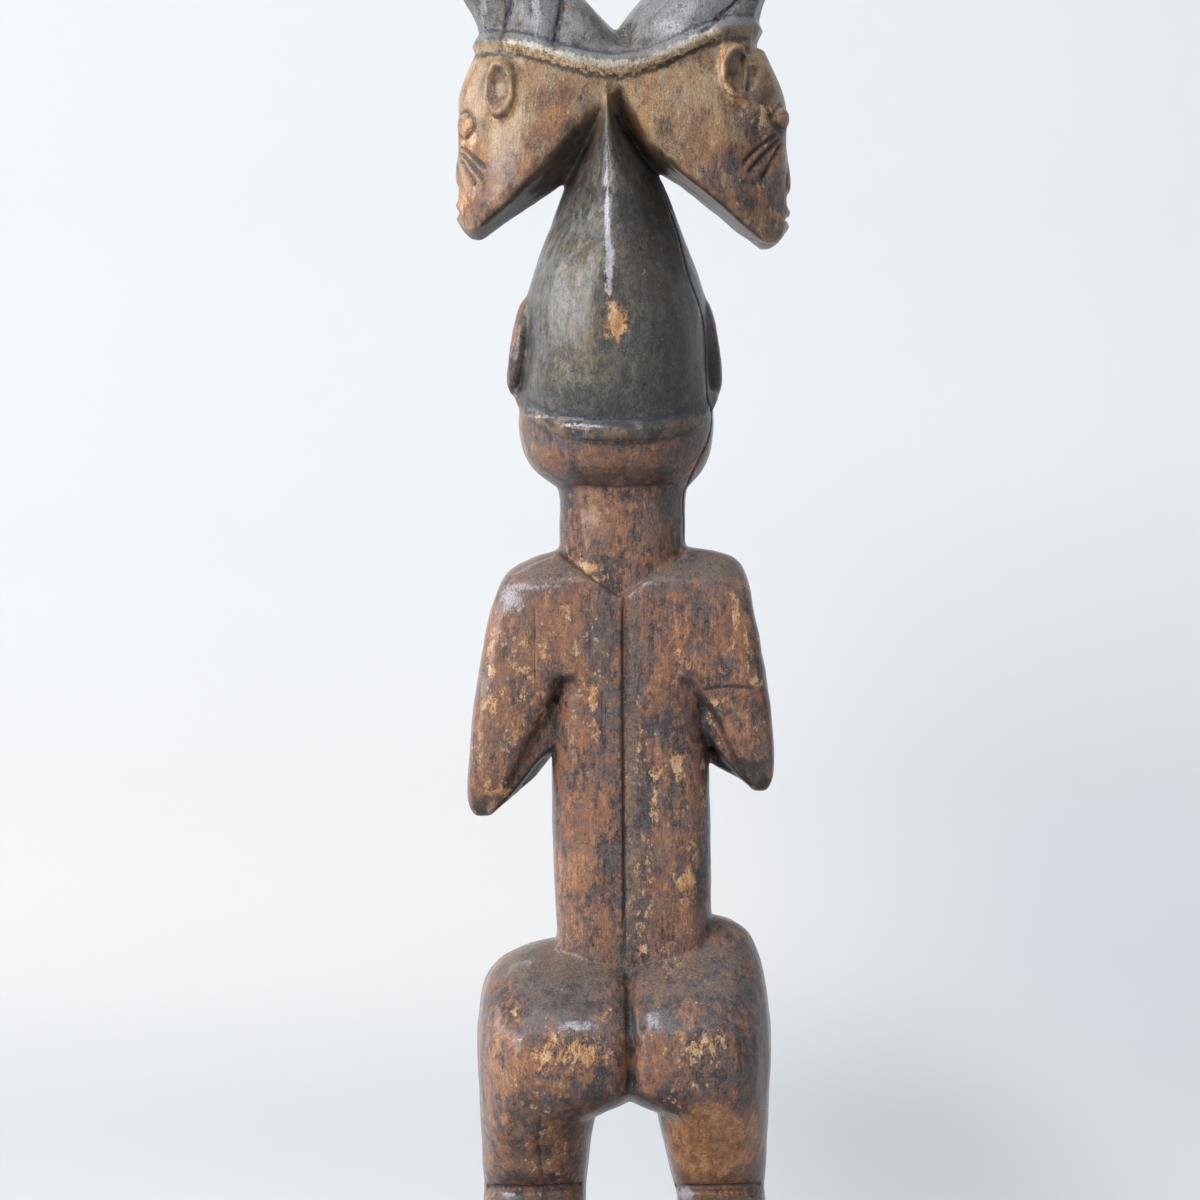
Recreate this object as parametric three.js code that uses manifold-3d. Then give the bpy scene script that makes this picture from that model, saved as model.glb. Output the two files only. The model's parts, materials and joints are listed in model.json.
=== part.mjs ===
// A dance staff carved from one block of wood: a standing woman holds her breasts and carries on her head
// two heads set back to back, whose pointed coiffures part in a V. Millimetres, +Z up. She looks along +Y,
// and the origin is the middle of the round base's underside.
import * as THREE from 'three';
import { mergeVertices } from 'three/addons/utils/BufferGeometryUtils.js';
import Module from 'manifold-3d';

const wasm = await Module();
wasm.setup();

// Heights above the underside of the base.
const SOLE = 25;
const KNEE = 93.5;
const CROTCH = 125.3;
const SHELF = 176.5;
const LEFT_ELBOW = 227;
const RIGHT_ELBOW = 236;
const BREASTS = 268;
const ARMPIT = 275;
const FURROW_TOP = 317.4;
const SHOULDER = 323.4;
const CHIN = 338;
const EARS = 395.5;
const KEEL_BULGE = 405;
const TWIN_CHIN = 433.4;
const COIFFURE_TIP = 483;
const HEM = 493.5;
const LEFT_CREST_TOP = 569;
const RIGHT_CREST_TOP = 575;

// Widths and depths from the middle plane. Her back is towards -Y.
const BASE_RADIUS = 62;
const BASE_EDGE = 4;
const LEG_SPREAD = 32.5;
const HIP_EDGE = 53.1;
const HIP_MIDDLE = 0.8;
const CLEFT = 2.9;
const BACK_PLANE = 22;
const HEAD_MIDDLE = -2;
const FACE = 42.5;
const TWIN_MIDDLE = -0.6;
const TWIN_FACE = 58;
const TWIN_DEPTH = 27;
const RIGHT_CHEEK_FULL = 0.8;
const RIGHT_FACE_OUT = 1.026;
const RIGHT_FACE_DROP = 2.6;
const ELBOW_BEND = 4.5;

const WOOD = new THREE.MeshStandardMaterial({ color: 0x5b3a26, roughness: 0.5, metalness: 0 });

// Turns a closed geometry into a solid that can be cut and joined.
function solid(geometry) {
  const bare = geometry.clone();
  bare.deleteAttribute('normal');
  bare.deleteAttribute('uv');
  const merged = mergeVertices(bare, 1e-4);
  return new wasm.Manifold(new wasm.Mesh({
    numProp: 3,
    vertProperties: merged.getAttribute('position').array,
    triVerts: new Uint32Array(merged.index.array),
  }));
}

const joined = (solids) => solids.reduce((whole, next) => whole.add(next));

// A closed skin over a row of rings of points, with a flat cap on the first and on the last.
function skin(rings) {
  const around = rings[0].length;
  const rows = rings.length - 1;
  const geometry = new THREE.CylinderGeometry(1, 1, 1, around, rows);
  const position = geometry.getAttribute('position');
  for (let i = 0; i < position.count; i += 1) {
    const [x, y, z] = [position.getX(i), position.getY(i), position.getZ(i)];
    const ring = rings[Math.round((y + 0.5) * rows)];
    const turn = Math.round(Math.atan2(x, z) / (2 * Math.PI) * around);
    const spot = Math.hypot(x, z) > 0.5
      ? ring[(turn + around) % around]
      : ring.reduce((sum, point) => sum.add(point), new THREE.Vector3()).divideScalar(around);
    position.setXYZ(i, spot.x, spot.y, spot.z);
  }
  return geometry;
}

// A power that keeps the sign: it turns a circle into the rounded square that most sections are.
const squared = (value, square) => Math.sign(value) * Math.abs(value) ** (2 / square);

// One ring of a form that grows up Z: its left and right edges, its reach to the back and to the front of
// y, and how square it is, from 1.3, a diamond, through 2, an oval, to 4, nearly a box.
const ring = (z, left, right, back, front, square = 2.4, y = 0) => [z, left, right, back, front, square, y];

// A form that grows up Z through its rings.
function stack(rings, { around = 16 } = {}) {
  const skinRings = rings.map(([z, left, right, back, front, square, y]) => {
    return Array.from({ length: around }, (_, turn) => {
      const angle = (turn / around) * 2 * Math.PI;
      const side = squared(Math.cos(angle), square);
      const ahead = squared(Math.sin(angle), square);
      const x = (left + right) / 2 + side * (right - left) / 2;
      return new THREE.Vector3(x, y + ahead * (ahead < 0 ? back : front), z);
    });
  });
  return skin(skinRings);
}

// A round or oval tapering form along its own Z, from pairs of a distance and a half width.
const taper = (pairs, flat = 1, around = 8) => stack(
  pairs.map(([z, half]) => ring(z, -half, half, half * flat, half * flat, 2.2)),
  { around },
);

// Moves a form made up Z so that it runs from one point towards another; across is where its X points.
function aimed(geometry, from, to, across) {
  const ahead = new THREE.Vector3().subVectors(to, from).normalize();
  const side = across.clone().addScaledVector(ahead, -across.dot(ahead)).normalize();
  const third = new THREE.Vector3().crossVectors(ahead, side);
  return geometry.clone().applyMatrix4(new THREE.Matrix4().makeBasis(side, third, ahead).setPosition(from));
}

// An egg of three half sizes, turned about Z and put in its place.
function egg(x, y, z, [wide, deep, tall], turn = 0, around = 8, rows = 5) {
  return new THREE.SphereGeometry(1, around, rows)
    .applyMatrix4(new THREE.Matrix4().makeRotationX(Math.PI / 2))
    .scale(wide, deep, tall)
    .rotateZ(turn)
    .translate(x, y, z);
}

function base() {
  const flat = BASE_RADIUS - BASE_EDGE;
  const profile = [[0, 0], [BASE_RADIUS, 0], [BASE_RADIUS, SOLE - BASE_EDGE], [flat, SOLE], [0, SOLE]];
  const turned = new THREE.LatheGeometry(profile.map(([r, z]) => new THREE.Vector2(r, z)), 28);
  return solid(turned.rotateX(Math.PI / 2));
}

// One foot, made from the toes to the heel and then laid down. side is -1 for the left, seen from her back.
function foot(side) {
  const across = (y, half, tall) => ring(-y, -half, half, 3, tall, 3.2);
  return solid(stack([
    across(44, 12, 4), across(40, 16, 7), across(26, 17, 11), across(6, 15, 18), across(-16, 13.5, 16),
    across(-24, 9, 11),
  ], { around: 10 }).rotateX(Math.PI / 2).translate(side * LEG_SPREAD, 0, SOLE));
}

// The left and right edges of something that lies from inner to outer on one side of a middle.
const edges = (side, inner, outer, middle = 0) => (
  [middle + side * inner, middle + side * outer].sort((a, b) => a - b)
);

// One leg, with the shelf of the calf under the crease of the bent knee. insides are its inner edges.
function leg(side, insides) {
  return solid(stack([
    [SOLE + 4, 46, 12, 12, -9], [SOLE + 16, 46, 12, 12, -8], [SOLE + 34, 48.6, 16, 13, -4],
    [SOLE + 50, 50.4, 21, 15, 0], [KNEE - 5, 50.8, 23, 17, 3], [KNEE - 1, 50.6, 18.5, 17.5, 4],
    [KNEE + 1.5, 50.4, 19.5, 18.5, 3], [KNEE + 7, 51, 24, 19.5, 2], [CROTCH - 12, 51.4, 30, 20, 1],
    [CROTCH + 4, 51.4, 30, 20, 0], [CROTCH + 20, 51, 26, 20, 0],
  ].map(([z, outer, back, front, y], row) => (
    ring(z, ...edges(side, insides[row], outer, HIP_MIDDLE), back, front, 3, y)
  )), { around: 16 }));
}

// One hip: the fold over the thigh, the full cheek, and its own shelf that slopes back from the waist. The
// cheeks overlap a little, so that the cleft between them stays shallow.
function hip(side, shelf) {
  const cut = ([z, inner, narrower, back, front]) => {
    const outer = HIP_MIDDLE + side * (HIP_EDGE - narrower);
    const [left, right] = [CLEFT + side * inner, outer].sort((a, b) => a - b);
    return ring(z, left, right, back, front, 3);
  };
  return solid(stack([
    [104, 16.4, 4.4, 23, 16], [113, 13.6, 1.6, 31, 19], [120, 12, 1.2, 36, 20], [CROTCH, 0, 1.1, 40, 21],
    [131, -8, 0.7, 44, 21.5], [141, -9, 0.3, 46, 22], [151, -10, 0.4, 44.4, 22], [160, -9, 1.2, 38.5, 22],
    ...shelf,
  ].map(cut), { around: 16 }));
}

// Torso, neck, her head and its keeled coiffure, in one form.
function trunk() {
  const torso = [
    ring(CROTCH, -10, 16, 10, 19, 2.6), ring(131, -24, 28, 16, 24, 2.6), ring(164, -25, 31, 20.4, 27.5, 3),
    ring(184, -23.4, 31.9, 21, 27, 3.6), ring(212, -24.8, 32, 21.5, 25, 3.8),
    ring(244, -25.3, 31.4, 21.6, 20, 3.8), ring(ARMPIT + 4, -24.4, 28.6, 21.6, 18, 3.6),
    ring(290, -21, 21.6, 16, 16, 2.4),
  ];
  const nape = [
    ring(300, -22.4, 22.9, 17.4, 16.4, 2.2), ring(CHIN - 3, -22.4, 22.9, 18.5, 19, 2.2),
    ring(CHIN, -22.4, 22.9, 18.6, 30, 2.1), ring(CHIN + 2.5, -22.4, 22.9, 18.8, 37, 2.1),
    ring(CHIN + 6.4, -23, 23.4, 19.4, 40.5, 2.2),
  ];
  const skull = [
    ring(347, -27, 26, 24, 42, 2.3), ring(351, -32, 29.4, 30, 43, 2.3), ring(357, -35.6, 32, 33.4, 43.2, 2.3),
    ring(366, -37.4, 33.2, 35.4, FACE + 0.3, 2.3), ring(379, -36.6, 32.6, 38.6, FACE, 2.3),
    ring(393, -34.4, 31.2, 40.4, FACE + 1, 2.3),
  ];
  const coiffure = [
    ring(KEEL_BULGE, -33.8, 30.8, 41, 42, 2.2), ring(413, -34.4, 30.2, 40.5, 37, 2),
    ring(422, -31.8, 27, 39.6, 34, 1.9),
    ring(437, -26.3, 21.5, 36.4, 29, 1.6), ring(454, -20.1, 15, 33, 26.5, 1.4),
    ring(469, -14.4, 4, 30.6, 27, 1.35),
    ring(COIFFURE_TIP, -6.2, -4.6, 28.4, 26, 1.5),
  ];
  return solid(stack([...torso, ...nape, ...skull, ...coiffure], { around: 24 }));
}

// The shoulders: flat behind, with tops that slope up to the neck.
function shoulders() {
  return solid(stack([
    ring(ARMPIT + 1, -44, 45, BACK_PLANE - 0.2, 17, 7), ring(292, -47, 48, BACK_PLANE, 16, 7),
    ring(305, -45.6, 46.8, BACK_PLANE, 15, 6), ring(311, -43.4, 45.4, BACK_PLANE - 0.8, 14.4, 5),
    ring(315.7, -39.4, 43.6, BACK_PLANE - 4.6, 13.4, 4), ring(319.2, -32, 40.6, BACK_PLANE - 7.4, 13, 3.4),
    ring(321.6, -24.6, 33.8, BACK_PLANE - 7, 12, 3), ring(SHOULDER, -20.6, 22.4, BACK_PLANE - 6, 11, 2.4),
  ], { around: 22 }));
}

// The notch of the collar, where both shoulders slope down to the top of the spine.
function collar() {
  const notch = stack([0, 20].map((z) => ring(z, -25, 25, 18.6, 18.6, 1.1)), { around: 12 });
  return solid(notch.rotateX(Math.PI / 2).translate(-0.8, -10, SHOULDER));
}

// One arm: a flat-backed upper arm down to the pointed elbow, the hollow of its bend, the forearm and the hand.
// slim is how much narrower than the other it is over the elbow.
function arm(side, elbow, back, slim) {
  const cut = (z, inner, outer, backward, forward) => {
    const deep = (backward + forward) / 2;
    return ring(z, ...edges(side, inner, outer), deep, deep, 4.6, (forward - backward) / 2);
  };
  const upper = stack([
    cut(elbow, 46.6, 52.4 - slim, 13, -7), cut(elbow + 4, 44.4, 54.8 - slim, 16.5, -3),
    cut(elbow + 12, 40, 55.2 - slim, 19.6, 1), cut(elbow + 30, 30.4, 54.1 - slim, back, 6),
    cut(ARMPIT - 3, 22.6, 52.3, back, 10), cut(ARMPIT - 1, 22, 52, BACK_PLANE - 0.4, 11),
    cut(284, 22.6, 50.4, BACK_PLANE - 0.5, 12), cut(292, 23, 48.9, BACK_PLANE - 0.6, 13),
    cut(300, 25, 47.2, BACK_PLANE - 1.6, 12), cut(306, 27, 45, BACK_PLANE - 4, 12),
  ], { around: 16 });
  const sunk = back - ELBOW_BEND;
  const hollow = (rise, inner) => (
    ring(elbow + rise, ...edges(side, inner, 49), (sunk + 6) / 2, (sunk + 6) / 2, 3.4, (6 - sunk) / 2)
  );
  const bent = stack([
    hollow(1, 46), hollow(5, 41), hollow(12, 35), hollow(19, 29.5), hollow(25, 22), hollow(40, 20),
  ], { around: 8 });
  const bend = new THREE.Vector3(side * 47, -6, elbow + 10);
  const wrist = new THREE.Vector3(side * 23, 31, 259);
  const knuckles = new THREE.Vector3(side * 13, 39, 263);
  const across = new THREE.Vector3(side, 0, -1);
  const length = bend.distanceTo(wrist);
  const forearm = taper([[-6, 4.5], [0, 8], [length * 0.4, 8.4], [length + 3, 5.6]]);
  const hand = taper([[-5, 4.6], [2, 7.4], [9, 8.2], [16, 7]], 0.48);
  return joined([
    solid(upper), solid(bent), solid(aimed(forearm, bend, wrist, across)),
    solid(aimed(hand, wrist, knuckles, new THREE.Vector3(0, 0, 1))),
  ]);
}

function breast(side) {
  const root = new THREE.Vector3(side * 12.5, 10, BREASTS + 2);
  const tip = new THREE.Vector3(side * 16, 44, BREASTS - 4);
  const long = root.distanceTo(tip);
  const cone = taper([[0, 12], [long * 0.45, 10.6], [long * 0.8, 7.6], [long * 0.94, 4.6], [long, 2.2]]);
  return solid(aimed(cone, root, tip, new THREE.Vector3(1, 0, 0)));
}

// A rolled rim along a closed line; line(angle) gives its middle, the way out, and its half sizes.
function rim(line, around = 24) {
  const roll = new THREE.TorusGeometry(2, 1, 5, around);
  const position = roll.getAttribute('position');
  for (let i = 0; i < position.count; i += 1) {
    const turn = Math.round(Math.atan2(position.getY(i), position.getX(i)) / (2 * Math.PI) * around);
    const { middle, out, thick, tall } = line(((turn + around) % around / around) * 2 * Math.PI);
    const outward = Math.hypot(position.getX(i), position.getY(i)) - 2;
    middle.addScaledVector(out, thick * outward);
    position.setXYZ(i, middle.x, middle.y, middle.z + tall * position.getZ(i));
  }
  return solid(roll);
}

// The hairline of the woman: low at the nape, up behind the ears and level over the brow.
function hairline() {
  return rim((angle) => {
    const ahead = Math.sin(angle);
    const middle = new THREE.Vector3(35 * Math.cos(angle), (ahead < 0 ? 36 : 41.5) * ahead, 0);
    const out = middle.clone().normalize();
    middle.x += HEAD_MIDDLE;
    middle.z = 363 + 17 * Math.min(1, 1 + ahead) + 27 * THREE.MathUtils.smoothstep(ahead, 0, 0.7);
    return { middle, out, thick: 2.6, tall: 3.6 };
  });
}

// The hem round both of the carried heads: lowest between them and higher over each brow.
function hem() {
  return rim((angle) => {
    const [across, ahead] = [squared(Math.cos(angle), 2.6), squared(Math.sin(angle), 2.6)];
    const middle = new THREE.Vector3(49.6 * across, (TWIN_DEPTH - 0.6) * ahead, 0);
    const out = new THREE.Vector3(across / 49.6, ahead / TWIN_DEPTH, 0).normalize();
    const rise = middle.x < 0 ? 9.5 : 15;
    middle.z = HEM + rise * THREE.MathUtils.smoothstep(Math.abs(middle.x), 0, 46);
    middle.x -= 1.7;
    return { middle, out, thick: 2.8, tall: 4 };
  }, 28);
}

// One ear of a head that looks along +Y: a leaf off the skull, hollowed so that its rim stays proud. lean
// pushes its lobe outward. bowl is the hollow's size in shares of the leaf, and open how far it lies ahead.
function ear(side, x, y, z, [stand, wide, tall], { lean = 0, open = 0.2, bowl = [0.6, 0.55, 0.68] }) {
  const leaf = egg(0, 0, 0, [stand, wide, tall]);
  const hollow = egg(stand, wide * open, 0, [stand * bowl[0], wide * bowl[1], tall * bowl[2]]);
  const placed = (form) => solid(form.rotateY(-lean).translate(x, y, z));
  const right = placed(leaf).subtract(placed(hollow));
  return side > 0 ? right : right.mirror([1, 0, 0]);
}

// Eyes, nose and mouth of a head that looks along +Y. face is how far forward its middle lies, and sunk how far
// behind that the eyes sit on the turn of the cheek.
function features(face, chin, { eyes, height, sunk, turn, wide }) {
  const eye = (side) => egg(side * eyes, face - sunk, chin + height, [wide, 3.3, 4.6], -side * turn);
  const nose = stack([
    ring(20.8, -5.4, 5.4, 7, 1.6, 2.6), ring(23.2, -6.6, 6.6, 7, 2.8, 2.4), ring(27, -5, 5, 7, 2.7, 2.2),
    ring(36, -2.8, 2.8, 7, 1.3, 2.2), ring(46, -2.2, 2.2, 7, -0.2, 2.2),
  ], { around: 8 }).translate(0, face, chin);
  const lip = (height, out) => egg(0, face - 3.4 + out, chin + height, [8.6, 5, 2.8], 0, 8, 4);
  return [eye(-1), eye(1), nose, lip(14.2, 1.3), lip(9.2, 0.8)].map(solid);
}

// Both carried heads in one form from face to face. Below the cheeks each jaw runs down to a keel, and on
// the right the cheek comes down to it almost all the way.
function pair() {
  const outline = [[0, -1], [0.5, -0.5], [0.97, 0], [1, 0.3], [0.98, 0.65], [0.86, 0.9], [0.5, 1]];
  const halfRing = [...outline, [0, 1], ...outline.slice(1).reverse().map(([across, up]) => [-across, up])];
  const cuts = [[0, 26, 502, 487, 466], [10, 26.5, 502, 478, 460], [22, TWIN_DEPTH, 503, 465.5, 452.6],
    [34, 26, 505, 452, 444.5], [43, 22.5, 505, 442.8, 438.3], [50, 18, 503.6, 437.4, TWIN_CHIN],
    [53.2, 14.6, 497.4, 436, TWIN_CHIN + 0.4], [56.2, 10.8, 490.4, 437.6, TWIN_CHIN + 2.6],
    [TWIN_FACE, 7, 484, 441, TWIN_CHIN + 6]];
  const cutAt = (side) => ([reach, deep, top, edge, keel]) => halfRing.map(([across, up]) => {
    const full = side > 0 ? RIGHT_CHEEK_FULL * THREE.MathUtils.smoothstep(reach, 0, 14) : 0;
    const cheek = THREE.MathUtils.lerp(edge, keel, full);
    const height = THREE.MathUtils.lerp(cheek, up < 0 ? keel : top, Math.abs(up));
    const drop = side > 0 ? RIGHT_FACE_DROP * THREE.MathUtils.smoothstep(reach, 24, 50) : 0;
    const out = side > 0 ? RIGHT_FACE_OUT : 1;
    return new THREE.Vector3(TWIN_MIDDLE + side * reach * out, across * deep, height - drop);
  });
  return solid(skin([...cuts.slice(1).reverse().map(cutAt(-1)), ...cuts.map(cutAt(1))]));
}

// One pointed coiffure that leans out over its face. Its other edge climbs from the notch between the two.
function crest(side, notch, slope, outline) {
  const heights = outline.map(([z]) => z);
  const outer = new THREE.CubicInterpolant(heights, outline.map(([, x]) => x), 1);
  const top = heights[heights.length - 1];
  const inner = (z) => Math.max(-6, notch + (z - 511) * slope);
  return solid(stack([486, ...heights].map((z) => {
    const thin = THREE.MathUtils.clamp((top + 1.5 - z) / (top + 1.5 - HEM), 0, 1);
    const deep = (TWIN_DEPTH - 1) * thin ** 0.85;
    const reach = Math.max(outer.evaluate(Math.max(z, heights[0]))[0], inner(z) + 1.6);
    return ring(z, ...edges(side, inner(z), reach), deep, deep, 2 + 0.6 * thin);
  }), { around: 12 }));
}

// The face and ears of one carried head, which looks towards side.
function twinFace(side, drop, height, [earAhead, earUp]) {
  const turned = new THREE.Matrix4().makeRotationZ(-side * Math.PI / 2);
  turned.setPosition(TWIN_MIDDLE + (side > 0 ? 1.6 : 0.5), 0, 0);
  const chin = TWIN_CHIN - 1.6 - drop;
  const face = features(TWIN_FACE - 0.8, chin, { eyes: 11, height, sunk: 2, turn: 0.58, wide: 5.2 });
  const ears = [-1, 1].map((way) => (
    ear(way, TWIN_DEPTH - 5, earAhead, earUp, [6.4, 6.2, 11.4], { open: 0.42, bowl: [1.3, 1.1, 0.8] })
  ));
  return [...face, ...ears].map((part) => part.transform([...turned.elements]));
}

// The furrow down the spine, steep on the left and sloping on the right.
function furrow() {
  const corners = [[-1.2, -2], [9.7, -2], [0, 1.8]].map(([x, y]) => new THREE.Vector2(x, y));
  const wedge = new THREE.Shape(corners);
  return solid(new THREE.ExtrudeGeometry(wedge, { depth: FURROW_TOP - SHELF, bevelEnabled: false })
    .translate(0.6, 0.2 - BACK_PLANE, SHELF));
}

// The inner edge of each leg, from the ankle up to where both hips meet.
const LEFT_INSIDES = [19, 19, 16.4, 14.4, 13.6, 13.8, 13.6, 13, 11.6, 10, 8];
const RIGHT_INSIDES = [22, 22, 21, 20, 19.2, 18.4, 17.6, 16.4, 13, 10, 8];

// The top of each hip: height, inner edge, how much narrower than the cheek, reach to the back and the front.
const LEFT_SHELF = [
  [SHELF - 8, -8, 3, 30, 22], [SHELF - 1.5, -6, 7.6, 21, 21], [SHELF + 2.7, -4, 16, 12.6, 19],
  [SHELF + 5.5, 0, 26, 6, 14],
];
const RIGHT_SHELF = [
  [SHELF - 8, -8, 2.4, 30, 22], [SHELF, -6, 4.4, 20.6, 22], [SHELF + 8, -2, 8, 13, 20.6],
  [SHELF + 12.4, 4, 14.4, 9, 18], [SHELF + 15, 8, 26, 5, 13],
];

// How far each crest reaches out at a few heights.
const LEFT_OUTLINE = [
  [500, 50], [507, 51], [515.5, 54.6], [521, 58], [530, 59.9], [543, 60.6], [556, 60], [LEFT_CREST_TOP, 57.6],
];
const RIGHT_OUTLINE = [
  [500, 48.6], [511, 49], [520, 51.8], [531, 56.6], [546, 60], [560, 60.8], [RIGHT_CREST_TOP, 59],
];

const moved = (parts, x) => parts.map((part) => part.translate([x, 0, 0]));
const herEars = [-1, 1].map((side) => ear(side, 34 - side * 0.6, -3, EARS, [4.2, 7.4, 18.5], { lean: 0.16 }));
const herFace = features(FACE - 0.4, CHIN, { eyes: 14, height: 41, sunk: 1.8, turn: 0.3, wide: 7.6 });
const carved = joined([
  base(), foot(-1), foot(1), leg(-1, LEFT_INSIDES), leg(1, RIGHT_INSIDES),
  hip(-1, LEFT_SHELF), hip(1, RIGHT_SHELF),
  trunk().subtract(furrow()), shoulders().subtract(collar()).subtract(furrow()),
  arm(-1, LEFT_ELBOW, BACK_PLANE, 0), arm(1, RIGHT_ELBOW, BACK_PLANE - 1.6, 0.9),
  breast(-1), breast(1), hairline(), ...moved([...herEars, ...herFace], HEAD_MIDDLE),
  pair(), hem(), crest(-1, 4.7, 0.92, LEFT_OUTLINE), crest(1, -1, 0.84, RIGHT_OUTLINE),
  ...twinFace(-1, 0, 42, [43, 485.6]), ...twinFace(1, RIGHT_FACE_DROP, 47, [38.6, 491.4]),
]);

// The finished solid as a geometry.
function geometryOf(whole) {
  const mesh = whole.getMesh();
  const geometry = new THREE.BufferGeometry();
  const points = new Float32Array(mesh.vertProperties);
  geometry.setAttribute('position', new THREE.BufferAttribute(points, mesh.numProp));
  geometry.setIndex(new THREE.BufferAttribute(new Uint32Array(mesh.triVerts), 1));
  return geometry;
}

const staff = new THREE.Mesh(geometryOf(carved), WOOD);
staff.name = 'carved_staff';
const group = new THREE.Group();
group.add(staff);

export default group;
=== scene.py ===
import json
import math

import bmesh
import bpy
import numpy as np
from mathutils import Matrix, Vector

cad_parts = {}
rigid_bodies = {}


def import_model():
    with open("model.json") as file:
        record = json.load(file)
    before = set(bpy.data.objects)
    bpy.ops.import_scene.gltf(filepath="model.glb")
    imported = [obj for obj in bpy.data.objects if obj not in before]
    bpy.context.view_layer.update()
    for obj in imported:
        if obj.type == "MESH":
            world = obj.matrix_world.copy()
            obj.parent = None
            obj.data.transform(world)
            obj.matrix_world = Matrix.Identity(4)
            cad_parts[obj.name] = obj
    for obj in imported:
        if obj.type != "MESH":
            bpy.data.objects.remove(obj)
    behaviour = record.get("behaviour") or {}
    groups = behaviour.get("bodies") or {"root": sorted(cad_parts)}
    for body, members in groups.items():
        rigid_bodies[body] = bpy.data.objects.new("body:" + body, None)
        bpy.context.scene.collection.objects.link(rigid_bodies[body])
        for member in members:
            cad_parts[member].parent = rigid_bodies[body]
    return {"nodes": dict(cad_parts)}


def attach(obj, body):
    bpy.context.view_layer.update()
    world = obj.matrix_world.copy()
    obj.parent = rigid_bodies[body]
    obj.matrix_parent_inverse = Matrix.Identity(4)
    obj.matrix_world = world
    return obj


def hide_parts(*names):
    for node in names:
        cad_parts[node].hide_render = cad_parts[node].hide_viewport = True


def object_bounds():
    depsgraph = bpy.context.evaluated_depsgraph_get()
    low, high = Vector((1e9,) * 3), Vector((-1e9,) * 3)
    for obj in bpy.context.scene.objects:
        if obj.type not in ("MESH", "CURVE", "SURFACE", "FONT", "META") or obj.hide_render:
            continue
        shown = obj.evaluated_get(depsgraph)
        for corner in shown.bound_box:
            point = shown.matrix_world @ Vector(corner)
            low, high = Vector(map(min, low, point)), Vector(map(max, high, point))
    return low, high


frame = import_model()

# The carved dance staff figure: its finely carved skin, its worn and waxed wood with painted highlights and shade,
# the pale studio and the camera. Sizes that end in _MM are millimetres, other lengths are metres.

MM = 0.001
SOLID_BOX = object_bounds()

# Heights of the solid that the carving follows.
SOLE_MM = 25
INSTEP_MM = 55
KNEE_MM = 128
SEAT_MM = 172
SPINE_FOOT_MM = 178
WAIST_MM = 250
SPINE_TOP_MM = 312
SHOULDER_MM = 332
CHIN_MM = 338
SKULL_MM = 366
TWINS_MM = 428
TWIN_CHIN_MM = 431.8
CREST_MM = 490
HEAD_MIDDLE_MM = -2
TWIN_MIDDLE_MM = -0.6

# The camera: level, behind the figure, a little left of its middle.
CAMERA_MM = (-7.9, -1600, 304)
FRAME_WIDTH_MM = 432
SENSOR_MM = 36
PICTURE = 1200
PIXEL_MM = FRAME_WIDTH_MM / PICTURE

# How far above and below the middle of a hem the finish follows it.
RISE_MM = 8

# How fine the skin is, in metres, how many triangles it keeps and the angle that makes an edge of the solid a
# carved one and no facet.
GRAIN = 0.0007
MOST_TRIANGLES = 194000
CARVED_ANGLE = math.radians(33)

# How far inside the solid's box the skin ends, and how far off anything not found is taken to be.
INSIDE_MM = 1e-5
FAR_OFF = 1e9


def make_camera():
    lens = bpy.data.cameras.new("view_of_back")
    lens.sensor_width = SENSOR_MM
    lens.lens = SENSOR_MM * -CAMERA_MM[1] / FRAME_WIDTH_MM
    lens.clip_start, lens.clip_end = 0.05, 40
    camera = bpy.data.objects.new("view_of_back", lens)
    bpy.context.scene.collection.objects.link(camera)
    camera.location = [v * MM for v in CAMERA_MM]
    camera.rotation_euler = (math.pi / 2, 0, 0)
    bpy.context.scene.camera = camera


def only(piece):
    """Selects one piece and nothing else."""
    for other in bpy.context.scene.objects:
        other.select_set(False)
    piece.select_set(True)
    bpy.context.view_layer.objects.active = piece


def finish_modifier(piece, kind, **settings):
    only(piece)
    modifier = piece.modifiers.new(kind.lower(), kind)
    for name, value in settings.items():
        setattr(modifier, name, value)
    bpy.ops.object.modifier_apply(modifier=modifier.name)


# How the skin is read and moved.


def places(piece):
    """The piece's points, in millimetres."""
    spots = np.empty(len(piece.data.vertices) * 3, np.float32)
    piece.data.vertices.foreach_get("co", spots)
    return spots.reshape(-1, 3).astype(float) / MM


def move_to(piece, spots):
    piece.data.vertices.foreach_set("co", (spots * MM).astype(np.float32).ravel())
    piece.data.update()


def facings(piece):
    normals = np.empty(len(piece.data.vertices) * 3, np.float32)
    piece.data.vertices.foreach_get("normal", normals)
    return normals.reshape(-1, 3).astype(float)


def edge_ends(piece):
    ends = np.empty(len(piece.data.edges) * 2, np.int32)
    piece.data.edges.foreach_get("vertices", ends)
    return ends.reshape(-1, 2)


def eased(values, ends, weight, rounds):
    """Evens values out along the skin: each round mixes a point with its neighbours, by its weight."""
    first, second = ends.T
    count = len(values)
    neighbours = np.maximum(np.bincount(first, minlength=count) + np.bincount(second, minlength=count), 1)
    eased_values = np.array(values, float)
    flat = eased_values.ndim == 1
    columns = eased_values[:, None] if flat else eased_values
    for _ in range(rounds):
        for axis in range(columns.shape[1]):
            column = columns[:, axis]
            around = np.bincount(first, column[second], count) + np.bincount(second, column[first], count)
            columns[:, axis] = column + weight * (around / neighbours - column)
    return columns[:, 0] if flat else columns


def step(values, low, high):
    """0 below low, 1 above high, and a soft change between."""
    share = np.clip((values - low) / (high - low), 0, 1)
    return share * share * (3 - 2 * share)


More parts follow.
